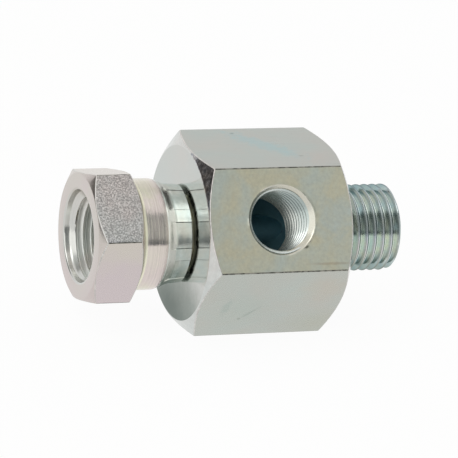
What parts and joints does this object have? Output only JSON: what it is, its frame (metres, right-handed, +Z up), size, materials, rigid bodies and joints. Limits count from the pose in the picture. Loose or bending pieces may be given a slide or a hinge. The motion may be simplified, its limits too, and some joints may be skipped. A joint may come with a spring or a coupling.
{
  "type": "hydraulic test point coupling",
  "caption": "Inline hydraulic test point coupling: hexagonal block with a threaded gauge port, a male stud on one end and a crimped swivel nut on the other.",
  "frame": {"origin": "middle of the shoulder face that the male stud leaves, on the axis of the run", "axes": "+X along the run, out of the block along the male stud; +Z up with the block lying on one flat; the gauge port looks to -Y, 30 degrees above level"},
  "size_m": [0.0494, 0.0312, 0.027],
  "materials": {
    "zinc_steel_body": "zinc plated, satin flats and bright turned faces",
    "zinc_steel_nut": "zinc plated, turned and crimped, one rough drawn flat",
    "nitrile_rubber": "matte black"
  },
  "bodies": {
    "coupling": {"body": "zinc_steel_body", "nose_o_ring": "nitrile_rubber"},
    "nut": {"swivel_nut": "zinc_steel_nut"}
  },
  "joints": [
    {"name": "nut_swivel", "type": "hinge", "parent": "coupling", "child": "nut", "pos_m": [-0.0309, 0, 0], "axis": [1, 0, 0], "continuous": true}
  ]
}
